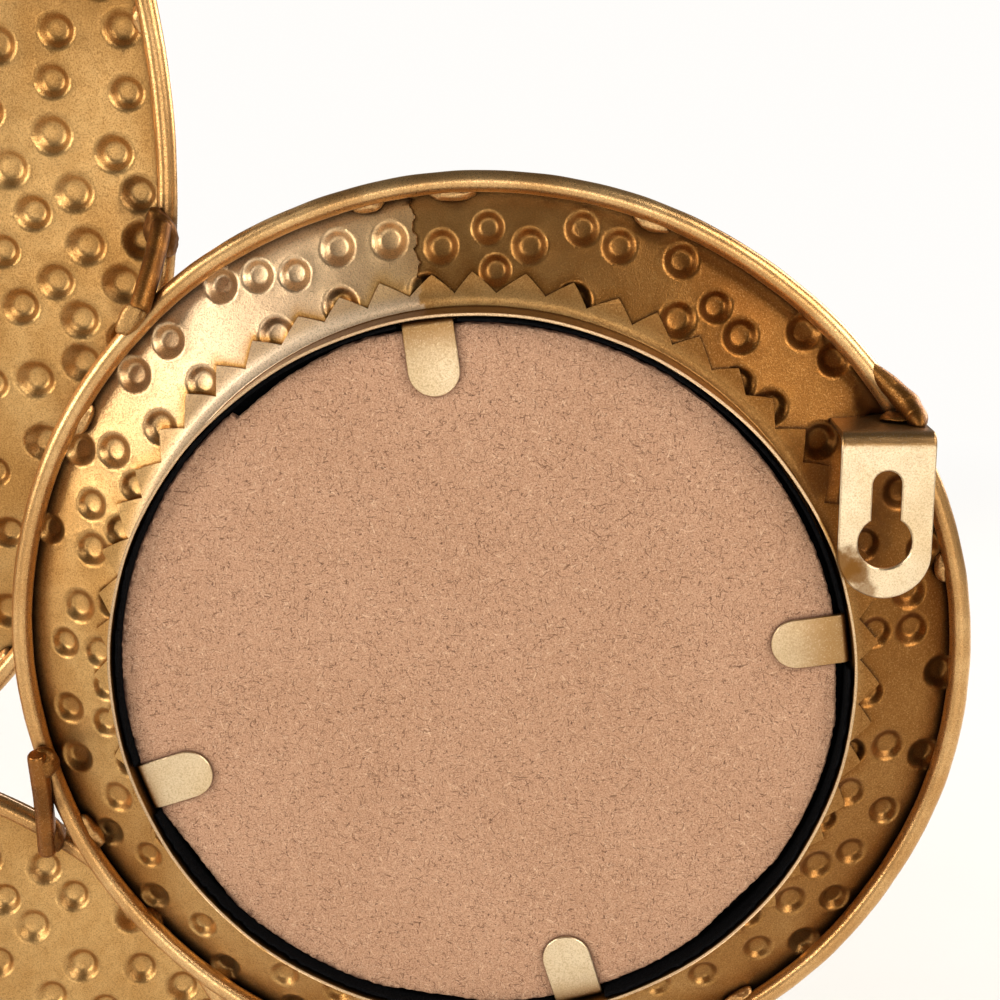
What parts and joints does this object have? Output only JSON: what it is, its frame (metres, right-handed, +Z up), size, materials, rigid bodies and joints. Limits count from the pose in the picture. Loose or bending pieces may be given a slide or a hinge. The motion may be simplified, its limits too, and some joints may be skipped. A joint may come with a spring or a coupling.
{
  "type": "wall mirror",
  "caption": "Hammered gold metal wall mirror: a dished mirror ring with a toothed collar, wire-welded to a large and a small dished plate, hung by keyhole plates.",
  "frame": {"origin": "midpoint between the centres of the two round keyhole openings, on the wall plane that the hanger plates touch", "axes": "+X to the right seen from the room, +Y towards the wall, +Z up"},
  "size_m": [0.5028, 0.0305, 0.5025],
  "materials": {
    "painted_sheet": "satin gold paint over hammered sheet",
    "painted_wire": "satin gold paint",
    "weld_paint": "gold paint over rough weld",
    "hanger_paint": "pale satin gold paint",
    "tab_paint": "pale satin gold paint",
    "mirror_glass": "silvered glass",
    "black_pad": "matte black fibre pad",
    "hardboard": "raw fibre hardboard"
  },
  "bodies": {
    "frame": {"mirror_ring_sheet": "painted_sheet", "mirror_ring_wire": "painted_wire", "small_plate_sheet": "painted_sheet", "small_plate_wire": "painted_wire", "large_plate_sheet": "painted_sheet", "large_plate_wire": "painted_wire", "mirror_collar": "painted_sheet", "mirror_glass": "mirror_glass", "foam_pad": "black_pad", "backing_board": "hardboard", "hanger_mirror_side": "hanger_paint", "hanger_plate_side": "hanger_paint", "link_rod_upper": "painted_wire", "link_rod_lower": "painted_wire", "weld_beads_mirror_ring": "weld_paint", "weld_beads_small_plate": "weld_paint", "weld_beads_large_plate": "weld_paint", "weld_beads_links": "weld_paint", "weld_beads_hangers": "weld_paint", "tab_foot_top": "tab_paint", "tab_foot_outer": "tab_paint", "tab_foot_inner": "tab_paint", "tab_foot_bottom": "tab_paint"},
    "tab_top": {"tab_flap_top": "tab_paint"},
    "tab_outer": {"tab_flap_outer": "tab_paint"},
    "tab_inner": {"tab_flap_inner": "tab_paint"},
    "tab_bottom": {"tab_flap_bottom": "tab_paint"}
  },
  "joints": [
    {"name": "bend_tab_top", "type": "hinge", "parent": "frame", "child": "tab_top", "pos_m": [-0.1333, -0.00405, 0.04242], "axis": [0.9934, 0, -0.1149], "range_deg": [0, 90]},
    {"name": "bend_tab_outer", "type": "hinge", "parent": "frame", "child": "tab_outer", "pos_m": [-0.21412, -0.00405, -0.02028], "axis": [0.1357, 0, 0.9907], "range_deg": [0, 90]},
    {"name": "bend_tab_inner", "type": "hinge", "parent": "frame", "child": "tab_inner", "pos_m": [-0.0725, -0.00405, -0.05376], "axis": [-0.3223, 0, -0.9466], "range_deg": [0, 90]},
    {"name": "bend_tab_bottom", "type": "hinge", "parent": "frame", "child": "tab_bottom", "pos_m": [-0.16185, -0.00405, -0.10047], "axis": [-0.9613, 0, 0.2756], "range_deg": [0, 90]}
  ]
}
